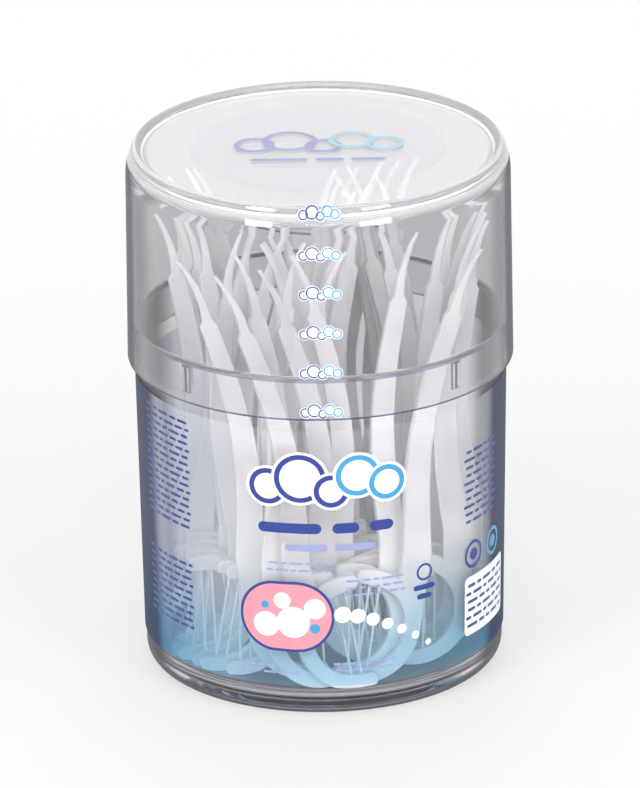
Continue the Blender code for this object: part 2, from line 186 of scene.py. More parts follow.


# The thin wall is nearly colourless. The foot's dark grey is painted shade, for the shade under the
# cup seen through it, and the rims' violet-grey is painted shade, for the thin dark lines that the
# rims draw as they pipe light along the wall.
POLISH = 0.03
clear_wall = moulded_clear("polystyrene_clear_thin_wall", "EEEEEF", POLISH, 1.0, 0.46)
clear_foot = moulded_clear("polystyrene_clear_foot_painted_shade", "A0A0B0", POLISH, 0.9, 0.42)
clear_rim = moulded_clear("polystyrene_clear_rim_painted_shade", "6A688E", 0.05, 0.8)

foot_radius = cup_radius(0) - FOOT_FILLET - FOOT_RING_WIDTH
cup = spun([
    (0, CUP_FLOOR, 0),
    (cup_radius(CUP_FLOOR) - CUP_WALL, CUP_FLOOR, FLOOR_FILLET),
    (cup_radius(RIB_FOOT) - CUP_WALL, RIB_FOOT, 0),
    (CUP_RIM_RADIUS - CUP_WALL, CUP_HEIGHT, RIM_ROUNDING),
    (CUP_RIM_RADIUS, CUP_HEIGHT, RIM_ROUNDING),
    (cup_radius(RIB_TOP), RIB_TOP, 0),
    (cup_radius(RIB_FOOT), RIB_FOOT, 0),
    (cup_radius(0), 0, FOOT_FILLET),
    (foot_radius, 0, FOOT_EDGE_ROUNDING),
    (foot_radius - FOOT_RECESS, FOOT_RECESS, FOOT_EDGE_ROUNDING),
    (0, FOOT_RECESS, 0)])
rib_faces = []
for face in cup.faces:
    middle = face.calc_center_median()
    turn = math.degrees(math.atan2(middle.y, middle.x)) % RIB_SPACING_DEGREES
    outside = middle.xy.length > cup_radius(middle.z) - CUP_WALL / 2
    beside = abs(turn - RIB_SPACING_DEGREES / 2)
    if outside and RIB_FOOT < middle.z < RIB_TOP and beside < HALF_STEP_DEGREES:
        rib_faces.append(face)
for face in rib_faces:
    bmesh.ops.inset_individual(cup, faces=[face], thickness=RIB_TAPER, depth=RIB_PROUD)
# The band under the rim takes the rim's painted shade, and the band at the floor the foot's.
for face in cup.faces:
    height = face.calc_center_median().z
    if height > CUP_HEIGHT - RIM_BAND:
        face.material_index = 2
    elif height < CUP_FLOOR + FLOOR_BAND:
        face.material_index = 1
cup = piece("clear_cup", cup, [clear_wall, clear_foot, clear_rim], "canister")
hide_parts("base_cup")

# Floss picks. Fifty white picks stand loose in the cup. Each is one flat moulding in impact
# polystyrene, with a toothpick at one end and at the other a bow moulded over two strands of floss.
PICK_COUNT = 50
PICK_LENGTH = 79.0 * mm
PICK_THICKNESS = 1.6 * mm
BOW_DEPTH = 8.6 * mm
BOW_HALF_SPAN = 9.0 * mm
BOW_HALF_WIDTH = 1.4 * mm
ARM_REACH = 1.2 * mm
BOW_HEIGHT = 2 * (BOW_HALF_SPAN + BOW_HALF_WIDTH)
HANDLE_FOOT = BOW_HEIGHT + 3.5 * mm
HANDLE_FOOT_HALF_WIDTH = 2.5 * mm
HANDLE_NECK_HALF_WIDTH = 1.5 * mm
HANDLE_SWAY = 2.4 * mm
POINT_LENGTH = 12.0 * mm
HANDLE_NECK = PICK_LENGTH - POINT_LENGTH
POINT_HALF_WIDTH = 0.9 * mm
POINT_TIP_HALF_WIDTH = 0.3 * mm
POINT_TIP_THICKNESS = 0.6 * mm
POINT_BEND = 3.0 * mm
FLOSS_SPACING = 1.8 * mm
FLOSS_RADIUS = 0.22 * mm
FLOSS_COUNT = 2
EDGE_ROUNDING = 0.42 * mm
HOLLOW_MARGIN = 0.55 * mm
HOLLOW_DEPTH = 0.22 * mm
HOLLOW_STOP = 6 * mm


def bow_point(turn, outward):
    """A point beside the bow's middle line, from -90 degrees at the low arm to 90 at the high."""
    turn = math.radians(turn)
    return (BOW_DEPTH + BOW_HALF_WIDTH - (BOW_DEPTH + outward) * math.cos(turn),
            BOW_HEIGHT / 2 + (BOW_HALF_SPAN + outward) * math.sin(turn))


def handle_edge(share, side):
    """A point on the handle's left (-1) or right (1) edge, share of the way to its neck."""
    half = HANDLE_FOOT_HALF_WIDTH + (HANDLE_NECK_HALF_WIDTH - HANDLE_FOOT_HALF_WIDTH) * share
    sway = HANDLE_SWAY * math.sin(math.pi * share)
    return (HANDLE_FOOT_HALF_WIDTH + sway + side * half,
            HANDLE_FOOT + (HANDLE_NECK - HANDLE_FOOT) * share)


def point_edge(share, side):
    """A point on the toothpick's edge, share of the way from its shoulder to its tip."""
    half = POINT_HALF_WIDTH + (POINT_TIP_HALF_WIDTH - POINT_HALF_WIDTH) * share
    return (HANDLE_FOOT_HALF_WIDTH - POINT_BEND * share * share + side * half,
            HANDLE_NECK + POINT_LENGTH * share)


def arm_end(turn):
    """The round end of the low arm at -90 degrees, or of the high arm at 90."""
    x, z = bow_point(turn, 0)
    return [(x + ARM_REACH + BOW_HALF_WIDTH * math.cos(math.radians(t)),
             z + BOW_HALF_WIDTH * math.sin(math.radians(t))) for t in range(-60, 61, 20)]


def pick_outline():
    """The flat outline once round, as the mould is cut."""
    shares = np.linspace(0, 1, 11)
    points = [handle_edge(share, -1) for share in shares[::-1]]
    points += [bow_point(turn, BOW_HALF_WIDTH) for turn in np.linspace(0, -90, 13)]
    points += arm_end(-90)
    points += [bow_point(turn, -BOW_HALF_WIDTH) for turn in np.linspace(-90, 90, 25)]
    points += arm_end(90)
    points += [bow_point(turn, BOW_HALF_WIDTH) for turn in np.linspace(90, 60, 5)]
    points += [handle_edge(share, 1) for share in shares]
    points += [point_edge(share, 1) for share in (0.08, 0.3, 0.55, 0.8, 1)]
    points += [point_edge(share, -1) for share in (1, 0.8, 0.55, 0.3, 0.08)]
    return points


def pick_thickness(height):
    """The toothpick thins from the neck to its tip."""
    along = min(max((height - HANDLE_NECK) / POINT_LENGTH, 0), 1)
    return PICK_THICKNESS + (POINT_TIP_THICKNESS - PICK_THICKNESS) * along


def pick_shape():
    """One pick standing on its head, with its long edges rounded and its handle hollowed."""
    shape = bmesh.new()
    flat = shape.faces.new([shape.verts.new((x, -PICK_THICKNESS / 2, z))
                            for x, z in pick_outline()])
    raised = bmesh.ops.extrude_face_region(shape, geom=[flat])
    far_side = [item for item in raised["geom"] if isinstance(item, bmesh.types.BMVert)]
    bmesh.ops.translate(shape, vec=(0, PICK_THICKNESS, 0), verts=far_side)
    bmesh.ops.recalc_face_normals(shape, faces=shape.faces)
    rims = [edge for edge in shape.edges if abs(edge.verts[0].co.y - edge.verts[1].co.y) < mm / 2]
    bmesh.ops.bevel(shape, geom=rims, offset=EDGE_ROUNDING, affect="EDGES", segments=3,
                    profile=0.5, material=-1, clamp_overlap=True)
    for height in np.linspace(HANDLE_FOOT, HANDLE_NECK, 9):
        bmesh.ops.bisect_plane(shape, geom=shape.verts[:] + shape.edges[:] + shape.faces[:],
                               plane_co=(0, 0, height), plane_no=(0, 0, 1),
                               dist=MERGE_DISTANCE)
    broad = [face for face in shape.faces if abs(face.normal.y) > 0.99
             and HANDLE_FOOT < face.calc_center_median().z < HANDLE_NECK - HOLLOW_STOP]
    for side in (-1, 1):
        bmesh.ops.inset_region(shape, faces=[f for f in broad if f.normal.y * side > 0],
                               thickness=HOLLOW_MARGIN, depth=-HOLLOW_DEPTH,
                               use_even_offset=True)
    for vert in shape.verts:
        vert.co.y *= pick_thickness(vert.co.z) / PICK_THICKNESS
    arm_x, low_arm = bow_point(-90, 0)
    for number in range(FLOSS_COUNT):
        strand = bmesh.ops.create_cone(shape, cap_ends=True, segments=8, radius1=FLOSS_RADIUS,
                                       radius2=FLOSS_RADIUS, depth=2 * BOW_HALF_SPAN)
        bmesh.ops.translate(shape, verts=strand["verts"],
                            vec=(arm_x - number * FLOSS_SPACING, 0, low_arm + BOW_HALF_SPAN))
        for face in {face for vert in strand["verts"] for face in vert.link_faces}:
            face.material_index = 1
    return shape


def pick_frame(tip, far, thickness_way, middle):
    """Axes at the tip: down to the far corner, through the flat, and to the middle's side."""
    down = (far - tip).normalized()
    across = thickness_way.cross(down)
    if across.dot(middle - tip) < 0:
        across = -across
    return Matrix((down, across, down.cross(across))).transposed()


def place_of(node):
    """The move that takes a pick from where it is made to where its CAD node stands."""
    mesh = node.data
    corners = np.unique(np.array([v.co for v in mesh.vertices]).round(7), axis=0)
    spread = sum(np.outer(f.normal, f.normal) * f.area for f in mesh.polygons)
    thickness_way = Vector(np.linalg.eigh(spread)[1][:, -1])
    middle = corners.mean(axis=0)
    ends = corners[np.argsort(-np.linalg.norm(corners - middle, axis=1))]
    tip_corners = ends[np.linalg.norm(ends - ends[0], axis=1) < mm]
    tip = Vector(tip_corners.mean(axis=0))
    far = Vector(max(corners, key=lambda p: (Vector(p) - tip).length))
    far -= (far - tip).dot(thickness_way) * thickness_way
    made_tip = Vector((HANDLE_FOOT_HALF_WIDTH - POINT_BEND, 0, PICK_LENGTH))
    rows = [Vector((x, 0, z)) for x, z in pick_outline()]
    made_far = max(rows, key=lambda p: (p - made_tip).length)
    made_middle = Vector((BOW_DEPTH, 0, BOW_HEIGHT / 2))
    made = pick_frame(made_tip, made_far, Vector((0, 1, 0)), made_middle)
    turn = pick_frame(tip, far, thickness_way, Vector(middle)) @ made.transposed()
    return Matrix.Translation(tip) @ turn.to_4x4() @ Matrix.Translation(-made_tip)


CLOUD_SIZE = 9 * mm
SATIN_GRAIN = 0.6 * mm
GRAIN_DEPTH = 0.05 * mm
TWIST_PITCH = 3 * mm
TWIST_DEPTH = 0.04 * mm


def moulded_white(name, colour):
    """High-impact polystyrene: satin from its etched mould, a little cooler in patches.

    The grain is drawn coarser than the etching, which is too fine to show.
    """
    material, tree, out = new_material(name)
    place = add_node(tree, "ShaderNodeTexCoord")
    cloud = add_node(tree, "ShaderNodeTexNoise", {"Vector": place.outputs["Object"],
                                                 "Scale": 1 / CLOUD_SIZE, "Detail": 2.0})
    shade = add_node(tree, "ShaderNodeValToRGB", {"Fac": cloud.outputs["Fac"]})
    shade.color_ramp.elements[0].position = 0.35
    shade.color_ramp.elements[0].color = linear("EBEBED")
    shade.color_ramp.elements[1].position = 0.65
    shade.color_ramp.elements[1].color = linear(colour)
    grain = add_node(tree, "ShaderNodeTexNoise", {"Vector": place.outputs["Object"],
                                                 "Scale": 1 / SATIN_GRAIN, "Detail": 2.0})
    bump = add_node(tree, "ShaderNodeBump", {"Height": grain.outputs["Fac"],
                                            "Strength": 0.12, "Distance": GRAIN_DEPTH})
    plastic = add_node(tree, "ShaderNodeBsdfPrincipled", {
        "Base Color": shade.outputs["Color"], "Roughness": 0.38, "IOR": 1.59,
        "Normal": bump.outputs["Normal"]})
    tree.links.new(plastic.outputs[0], out.inputs["Surface"])
    return material


def twisted_floss():
    """Waxed nylon floss: bright, with a twist along each strand, drawn coarser than it is."""
    material, tree, out = new_material("nylon_floss_waxed")
    place = add_node(tree, "ShaderNodeTexCoord")
    twist = add_node(tree, "ShaderNodeTexWave", {"Vector": place.outputs["Object"],
                                                "Scale": 1 / TWIST_PITCH, "Distortion": 1.0},
                     bands_direction="DIAGONAL")
    bump = add_node(tree, "ShaderNodeBump", {"Height": twist.outputs["Fac"],
                                            "Strength": 0.3, "Distance": TWIST_DEPTH})
    fibre = add_node(tree, "ShaderNodeBsdfPrincipled", {
        "Base Color": linear("FCFCFF"), "Roughness": 0.45, "Normal": bump.outputs["Normal"]})
    tree.links.new(fibre.outputs[0], out.inputs["Surface"])
    return material


pick_white = moulded_white("impact_polystyrene_white", "F7F6F4")
floss = twisted_floss()
master = pick_shape()
for number in range(1, PICK_COUNT + 1):
    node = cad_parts[f"pick_{number:02d}"]
    shape = master.copy()
    bmesh.ops.transform(shape, matrix=place_of(node), verts=shape.verts)
    pick = piece(f"floss_pick_{number:02d}", shape, [pick_white, floss], "canister")
    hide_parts(node.name)
master.free()

# Wrap label. A clear polyester film is shrunk once round the cup. It is printed in a translucent
# blue that deepens towards the foot, with opaque navy, sky, violet, pink and white inks over it.
FILM_GAP = 0.15 * mm
FILM_THICKNESS = 0.10 * mm
WRAP_TOP = 53.8 * mm
WRAP_FOOT = 6.0 * mm
WRAP_TINT_TOP = 31.0 * mm
WRAP_TINT_FOOT = 7.0 * mm
INK_THICKNESS = 0.002 * mm
INK_GAP = 0.002 * mm
PASS_MARK = 1.5 * mm
LABEL_RADIUS = 31.8 * mm
CUT_SPACING = 1 * mm
CUTS_EACH_SIDE = 44
CUT_PRECISION = 0.0001 * mm
FILM_WHITE = "FFFFFF"
FILM_HAZE = "EAEDF8"
FILM_ROUGHNESS = 0.08
FILM_SHINE = 0.025
HAZE_BARE = 0.05
HAZE_PRINTED = 0.16
FULL_BLUE_Y = -8 * mm
FRONT_SHARE = 0.55
VIOLET_FROM_X = -23 * mm
VIOLET_TO_X = -31.5 * mm
VIOLET_SHARE = 0.8
VEIL_FROM_X = -11 * mm
VEIL_TO_X = -18 * mm
VEIL_SHARE = 0.18
PRINT_EDGE_START = 0.48
PRINT_EDGE_RAMP = 0.2
EDGE_SHARE = 0.94


def hazed(tree, out, passed_colour, pigment_colour, haze):
    """Film that passes passed_colour, scatters pigment_colour by its haze, and has a thin gloss."""
    passed = add_node(tree, "ShaderNodeBsdfTransparent", {"Color": passed_colour})
    body = add_node(tree, "ShaderNodeBsdfDiffuse", {"Color": pigment_colour})
    film = add_node(tree, "ShaderNodeMixShader", {0: haze, 1: passed.outputs[0],
                                                 2: body.outputs[0]})
    gloss = add_node(tree, "ShaderNodeBsdfGlossy", {"Roughness": FILM_ROUGHNESS})
    shine = add_node(tree, "ShaderNodeLayerWeight", {"Blend": FILM_SHINE})
    coated = add_node(tree, "ShaderNodeMixShader", {0: shine.outputs["Facing"],
                                                   1: film.outputs[0], 2: gloss.outputs[0]})
    tree.links.new(coated.outputs[0], out.inputs["Surface"])


def clear_polyester():
    """Clear polyester film: glossy, with a slight haze that shows where the film ends."""
    material, tree, out = new_material("film_clear")
    hazed(tree, out, linear(FILM_WHITE), linear(FILM_HAZE), HAZE_BARE)
    return material


def printed_polyester():
    """The same film printed in translucent ink, which passes light and scatters a little blue.

    The blue deepens towards the foot and is weakest at the front. On the left it turns violet
    under a thin white veil. Where it is seen edge on it goes dark, partly for the longer path along
    the ink and partly as painted shade: a dark matte blue for the dark edges of the cup.
    """
    material, tree, out = new_material("film_printed_blue")
    place = add_node(tree, "ShaderNodeTexCoord")
    spot = add_node(tree, "ShaderNodeSeparateXYZ", {0: place.outputs["Object"]})
    depth = add_node(tree, "ShaderNodeMapRange", {
        "Value": spot.outputs["Z"], "From Min": WRAP_TINT_TOP, "From Max": WRAP_TINT_FOOT},
        interpolation_type="SMOOTHSTEP")
    round_from_front = add_node(tree, "ShaderNodeMapRange", {
        "Value": spot.outputs["Y"], "From Min": -LABEL_RADIUS, "From Max": FULL_BLUE_Y,
        "To Min": FRONT_SHARE}, interpolation_type="SMOOTHSTEP")
    depth = add_node(tree, "ShaderNodeMath", {0: depth.outputs["Result"],
                                             1: round_from_front.outputs["Result"]},
                     operation="MULTIPLY")
    stain = add_node(tree, "ShaderNodeMix", {0: depth.outputs[0], 6: linear(FILM_WHITE),
                                            7: linear("A8E4F8")}, data_type="RGBA")
    left = add_node(tree, "ShaderNodeMapRange", {
        "Value": spot.outputs["X"], "From Min": VIOLET_FROM_X, "From Max": VIOLET_TO_X,
        "To Max": VIOLET_SHARE}, interpolation_type="SMOOTHSTEP")
    stain = add_node(tree, "ShaderNodeMix", {0: left.outputs["Result"], 6: stain.outputs[2],
                                            7: linear("8E9CCB")}, data_type="RGBA")
    pigment = add_node(tree, "ShaderNodeMix", {0: depth.outputs[0], 6: linear(FILM_HAZE),
                                              7: linear("5FB0DC")}, data_type="RGBA")
    # Painted shade: edge on, the pigment turns dark matte blue and its haze grows.
    slant = add_node(tree, "ShaderNodeLayerWeight", {"Blend": 0.5})
    edge = add_node(tree, "ShaderNodeMapRange", {
        "Value": slant.outputs["Facing"], "From Min": PRINT_EDGE_START,
        "From Max": PRINT_EDGE_START + PRINT_EDGE_RAMP, "To Max": EDGE_SHARE},
        interpolation_type="SMOOTHSTEP")
    pigment = add_node(tree, "ShaderNodeMix", {0: edge.outputs["Result"],
                                              6: pigment.outputs[2], 7: linear("2C3452")},
                       data_type="RGBA")
    haze = add_node(tree, "ShaderNodeMapRange", {"Value": depth.outputs[0],
                                                "To Min": HAZE_BARE, "To Max": HAZE_PRINTED})
    haze = add_node(tree, "ShaderNodeMath", {0: haze.outputs["Result"],
                                            1: edge.outputs["Result"]}, operation="ADD")
    veil = add_node(tree, "ShaderNodeMapRange", {
        "Value": spot.outputs["X"], "From Min": VEIL_FROM_X, "From Max": VEIL_TO_X,
        "To Max": VEIL_SHARE}, interpolation_type="SMOOTHSTEP")
    haze = add_node(tree, "ShaderNodeMath", {0: haze.outputs[0], 1: veil.outputs["Result"]},
                    operation="ADD")
    hazed(tree, out, stain.outputs[2], pigment.outputs[2], haze.outputs[0])
    return material


def opaque_ink(name, colour):
    """Screen-printed ink: flat colour with the small unevenness of a squeegee pass."""
    material, tree, out = new_material(name)
    place = add_node(tree, "ShaderNodeTexCoord")
    pass_marks = add_node(tree, "ShaderNodeTexNoise", {"Vector": place.outputs["Object"],
                                                      "Scale": 1 / PASS_MARK, "Detail": 2.0})
    dark = add_node(tree, "ShaderNodeMapRange", {"Value": pass_marks.outputs["Fac"],
                                                "To Min": 0.88, "To Max": 1.08})
    shade = add_node(tree, "ShaderNodeHueSaturation", {"Color": linear(colour),
                                                      "Value": dark.outputs["Result"]})
    ink = add_node(tree, "ShaderNodeBsdfPrincipled", {"Base Color": shade.outputs["Color"],
                                                     "Roughness": 0.3})
    tree.links.new(ink.outputs[0], out.inputs["Surface"])
    return material


clear_film = clear_polyester()
wrap_film = printed_polyester()
INKS = {"white": opaque_ink("ink_white", "FFFFFF"), "navy": opaque_ink("ink_navy", "2B3F90"),
        "sky": opaque_ink("ink_sky", "429FD0"), "pink": opaque_ink("ink_pink", "EC98A6"),
        "violet": opaque_ink("ink_violet", "9CA2D0"),
        "pale_blue": opaque_ink("ink_pale_blue", "A8D4EA")}

film_inside, film_outside = FILM_GAP, FILM_GAP + FILM_THICKNESS
wrap = spun([(cup_radius(z) + out, z, 0) for z, out in (
    (WRAP_TOP, film_inside), (WRAP_TOP, film_outside), (WRAP_FOOT, film_outside),
    (WRAP_FOOT, film_inside), (WRAP_TOP, film_inside))])
for face in wrap.faces:
    middle = face.calc_center_median()
    outside = middle.xy.length > cup_radius(middle.z) + (film_inside + film_outside) / 2
    face.material_index = 0 if outside else 1
wrap = piece("wrap_film", wrap, [wrap_film, clear_film], "canister")
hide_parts("wrap_label")


class Print:
    """Flat ink shapes by colour and layer, across in X and up in Z, before they are laid on."""

    def __init__(self):
        self.layers = {}

    def add(self, colour, layer, circles, x, z, width=0.0):
        """Puts a round shape in its layer, its two halves width apart, and stands it up."""
        for vert in circles:
            vert.co.x += math.copysign(width / 2, vert.co.x)
        upright = Matrix.Translation((x, 0, z)) @ Matrix.Rotation(math.pi / 2, 4, "X")
        bmesh.ops.transform(self.layers[colour, layer], verts=circles, matrix=upright)

    def circle(self, colour, layer, radius):
        """A circle's vertices, flat at the origin."""
        shape = self.layers.setdefault((colour, layer), bmesh.new())
        return bmesh.ops.create_circle(shape, segments=38, radius=radius)["verts"]

    def disc(self, colour, layer, x, z, radius, width=0.0):
        """A filled circle, or with a width an oblong with round ends."""
        rim = self.circle(colour, layer, radius)
        self.layers[colour, layer].faces.new(rim)
        self.add(colour, layer, rim, x, z, width)

    def ring(self, colour, layer, x, z, radius, stroke):
        """Two circles bridged."""
        rims = self.circle(colour, layer, radius) + self.circle(colour, layer, radius - stroke)
        edges = {edge for vert in rims for edge in vert.link_edges}
        bmesh.ops.bridge_loops(self.layers[colour, layer], edges=list(edges))
        self.add(colour, layer, rims, x, z)

    def panel(self, colour, layer, x, z, width, height, corner):
        """An upright oblong with round corners."""
        shape = self.layers.setdefault((colour, layer), bmesh.new())
        corners = bmesh.ops.create_grid(shape, x_segments=1, y_segments=1, size=0.5)["verts"]
        for vert in corners:
            vert.co = Vector((x + vert.co.x * width, 0, z + vert.co.y * height))
        bmesh.ops.bevel(shape, geom=corners, offset=corner, affect="VERTICES", segments=5,
                        profile=0.5, material=-1)

    def bubbles(self, x, z, size, inks=("navy", "sky", "white")):
        """The canister's own motif: ringed bubbles that overlap, each over the one before it."""
        first, second, fill = inks
        for number, (colour, along, rise, radius) in enumerate((
                (first, -10.4, -1.2, 3.4), (first, -4.6, 0.5, 4.6), (first, 0.9, -1.9, 3.1),
                (second, 5.6, 0.9, 3.9), (second, 10.9, -0.9, 3.3))):
            at = (x + along * size, z + rise * size)
            if fill:
                self.disc(fill, 2 * number, *at, (radius + 0.5) * size)
            self.ring(colour, 2 * number + 1, *at, radius * size, 0.95 * size)

    def words(self, colour, x, z, widths, height, layer=0):
        """A line of plain bars with round ends, as wide as words and with a gap between them."""
        edge = x - (sum(widths) + height * (len(widths) - 1)) / 2
        for width in widths:
            self.disc(colour, layer, edge + width / 2, z, height / 2, width - height)
            edge += width + height

    def lay(self, name, place, body):
        """Cuts every layer so that it can bend, gives it thickness and lays it on its surface."""
        for (colour, layer), shape in self.layers.items():
            for cut in np.arange(-CUTS_EACH_SIDE, CUTS_EACH_SIDE + 1) * CUT_SPACING:
                everything = shape.verts[:] + shape.edges[:] + shape.faces[:]
                bmesh.ops.bisect_plane(shape, geom=everything, plane_co=(cut, 0, 0),
                                       plane_no=(1, 0, 0), dist=CUT_PRECISION)
            raised = bmesh.ops.extrude_face_region(shape, geom=shape.faces[:])
            bmesh.ops.translate(shape, vec=(0, -INK_THICKNESS, 0), verts=[
                item for item in raised["geom"] if isinstance(item, bmesh.types.BMVert)])
            bmesh.ops.recalc_face_normals(shape, faces=shape.faces)
            lift = film_outside + INK_GAP + layer * (INK_THICKNESS + INK_GAP)
            for vert in shape.verts:
                vert.co = place(vert.co.x, vert.co.z, lift - vert.co.y)
            piece(f"{name}_{colour}_{layer}", shape, [INKS[colour]], body)


def on_cup(x, z, lift):
    """A place on the wrap, x round from the front and z up."""
    turn = x / LABEL_RADIUS
    radius = cup_radius(z) + lift
    return Vector((radius * math.sin(turn), -radius * math.cos(turn), z))


# The print, in millimetres round from the front and up from the foot: the bubbles and two lines
# under them, an oval with a trail of dots, fine lines at both sides, and a panel of fine lines.
LINE_WIDTHS = ((2.2, 1.4, 3.0, 1.8, 2.4), (1.5, 2.8, 1.2, 2.6, 2.0, 1.1),
               (3.1, 1.9, 1.4, 2.9, 1.7))
SMALL_LINES = ((-4.5, 29.0), (-4.5, 27.7), (9.0, 25.6), (9.0, 24.3), (9.0, 23.0),
               (-9.5, 9.6), (-9.5, 8.4), (7.0, 10.2), (7.0, 9.0))
TRAIL_DOTS = 7

art = Print()


def line_of(number, scale=mm):
    """The widths of one line of the fine print, which come round again after three lines."""
    return [width * scale for width in LINE_WIDTHS[number % 3]]


art.bubbles(0.6 * mm, 44.4 * mm, 0.97 * mm)
for colour, x, z, widths, height in (
        ("navy", 0.5, 35.6, (11.0, 4.6, 4.2), 1.9), ("violet", 1.2, 32.0, (7.4, 7.0), 1.3),
        ("navy", 18.4, 22.4, (4.4,), 1.0), ("navy", 18.4, 20.7, (3.0,), 1.0)):
    art.words(colour, x * mm, z * mm, [width * mm for width in widths], height * mm)
for colour, layer, x, z, radius, width in (
        ("navy", 0, -6.6, 19.0, 6.6, 3.6), ("pink", 1, -6.6, 19.0, 6.1, 3.6),
        ("white", 2, -10.2, 17.4, 2.3, 0), ("white", 3, -7.3, 22.0, 1.5, 0),
        ("white", 4, -5.4, 18.0, 2.9, 0), ("white", 5, -1.6, 20.6, 1.9, 0),
        ("sky", 6, -10.4, 21.0, 0.7, 0), ("sky", 6, -1.6, 16.9, 0.9, 0)):
    art.disc(colour, layer, x * mm, z * mm, radius * mm, width * mm)
for number in range(TRAIL_DOTS):
    along = number / (TRAIL_DOTS - 1)
    art.disc("white", 1, (3.2 + 16.0 * along) * mm, (19.4 - 7.5 * along ** 1.6) * mm,
             (1.5 - 0.9 * along) * mm)
for line in range(16):
    art.words("navy", -32.0 * mm, (51.6 - 1.3 * line) * mm, line_of(line), 0.5 * mm)
for line in range(10):
    art.words("navy", -32.0 * mm, (25.0 - 1.3 * line) * mm, line_of(line + 1), 0.5 * mm)
    art.words("navy", 33.0 * mm, (44.5 - 1.45 * line) * mm, line_of(line + 1)[:4], 0.5 * mm)
for line, (x, z) in enumerate(SMALL_LINES):
    art.words("violet", x * mm, z * mm, line_of(line, 0.8 * mm), 0.4 * mm)
art.panel("white", 0, 35.5 * mm, 15.5 * mm, 15.0 * mm, 11.0 * mm, 1.0 * mm)
for line in range(6):
    art.words("navy", 35.5 * mm, (19.25 - 1.5 * line) * mm, line_of(line), 0.6 * mm, layer=1)
for x, colour in ((30.5, "navy"), (37.5, "sky")):
    art.ring(colour, 1, x * mm, 25.0 * mm, 2.6 * mm, 0.6 * mm)
    art.disc(colour, 1, x * mm, 25.0 * mm, 1.1 * mm)
art.ring("navy", 1, 18.4 * mm, 25.2 * mm, 1.6 * mm, 0.4 * mm)
art.lay("wrap_print", on_cup, "canister")

# Lid. The lid is a deep cap, moulded in the same clear polystyrene. Its skirt pushes over the
# cup's rim, which stops against a step inside, and a raised bead runs round its flat panel.
LID_EDGE = 56.1 * mm
LID_TOP = 94.5 * mm
LID_EDGE_RADIUS = 33.5 * mm
LID_DRAFT = math.radians(0.42)
LID_WALL = 1.6 * mm
SKIRT_INNER_RADIUS = 32.65 * mm
LID_SEAT = 63.7 * mm
PANEL_TOP = 93.8 * mm
PANEL_UNDERSIDE = 92.4 * mm
SHOULDER_FOOT = 90.7 * mm
SHOULDER_RUN = 1.4 * mm
CREST_WIDTH = 0.7 * mm
PANEL_SLOPE_RUN = 0.5 * mm
LID_INNER_FILLET = 2.0 * mm
SHOULDER_LEAN = 0.35 * mm
SHOULDER_BEND = SHOULDER_FOOT + 1.9 * mm
SHOULDER_ROUNDING = 1.6 * mm
WALL_TOP = SHOULDER_FOOT - 0.6 * mm
WALL_TOP_ROUNDING = 0.8 * mm
BEAD_ROUNDING = 0.5 * mm
SMALL_ROUNDING = 0.25 * mm
SKIRT_ROUNDING = 0.2 * mm
SEAT_ROUNDING = 0.1 * mm
EDGE_BAND = 0.3 * mm
PANEL_BAND = 0.05 * mm
BEAD_BAND = 0.15 * mm
UPRIGHT_SLANT = 0.25


def lid_radius(height):
    """The lid narrows from its edge to its shoulder."""
    return LID_EDGE_RADIUS - (height - LID_EDGE) * math.tan(LID_DRAFT)


shoulder_radius = lid_radius(SHOULDER_FOOT)
crest_radius = shoulder_radius - SHOULDER_RUN
lid_outside = [
    (crest_radius - CREST_WIDTH, LID_TOP, SMALL_ROUNDING),
    (crest_radius, LID_TOP, BEAD_ROUNDING),
    (shoulder_radius - SHOULDER_LEAN, SHOULDER_BEND, SHOULDER_ROUNDING),
    (lid_radius(WALL_TOP), WALL_TOP, WALL_TOP_ROUNDING)]
lid = spun([
    (0, PANEL_TOP, 0),
    (crest_radius - CREST_WIDTH - PANEL_SLOPE_RUN, PANEL_TOP, SMALL_ROUNDING),
    *lid_outside,
    (LID_EDGE_RADIUS, LID_EDGE, SMALL_ROUNDING),
    (SKIRT_INNER_RADIUS, LID_EDGE, SKIRT_ROUNDING),
    (SKIRT_INNER_RADIUS, LID_SEAT, SEAT_ROUNDING),
    (lid_radius(LID_SEAT) - LID_WALL, LID_SEAT, SKIRT_ROUNDING),
    (lid_radius(PANEL_UNDERSIDE) - LID_WALL, PANEL_UNDERSIDE, LID_INNER_FILLET),
    (0, PANEL_UNDERSIDE, 0)])
# The panel is a little milky, partly haze and partly a painted reflection of the bright room above
# it, and the skirt, where it slides over the cup, is painted milky too, painted light that
# brightens the band where it lies over the cup. The wall between them is the thickest and greyest,
# with painted shade where it is seen edge on. The bead has the satin roughness of a spark-eroded
# mould and is painted milky white, a painted highlight for the glare on its rounded crest.
clear_panel = moulded_clear("polystyrene_clear_panel", "F3F3F4", POLISH, 0, milk=0.1)
thick_wall = moulded_clear("polystyrene_clear_wall", "D6D6D8", POLISH, 1.0, 0.60)
clear_skirt = moulded_clear("polystyrene_clear_skirt", "FCFCFC", POLISH, 0.9, 0.38, milk=0.12)
satin = moulded_clear("polystyrene_satin_bead_painted_highlight", "F4F4F6", 0.2, 0, milk=0.4)
lid.normal_update()
# The bead takes its painted highlight, the lowest edge the rim's painted shade, and the skirt its
# painted milk.
for face in lid.faces:
    middle = face.calc_center_median()
    if middle.z > PANEL_TOP + PANEL_BAND and middle.xy.length < crest_radius + BEAD_BAND:
        face.material_index = 4
    elif middle.z < LID_EDGE + EDGE_BAND:
        face.material_index = 3
    elif middle.z < LID_SEAT:
        face.material_index = 2
    elif abs(face.normal.z) < UPRIGHT_SLANT:
        face.material_index = 1
lid = piece("clear_lid", lid, [clear_panel, thick_wall, clear_skirt, clear_rim, satin],
            "lid_body")
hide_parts("lid")

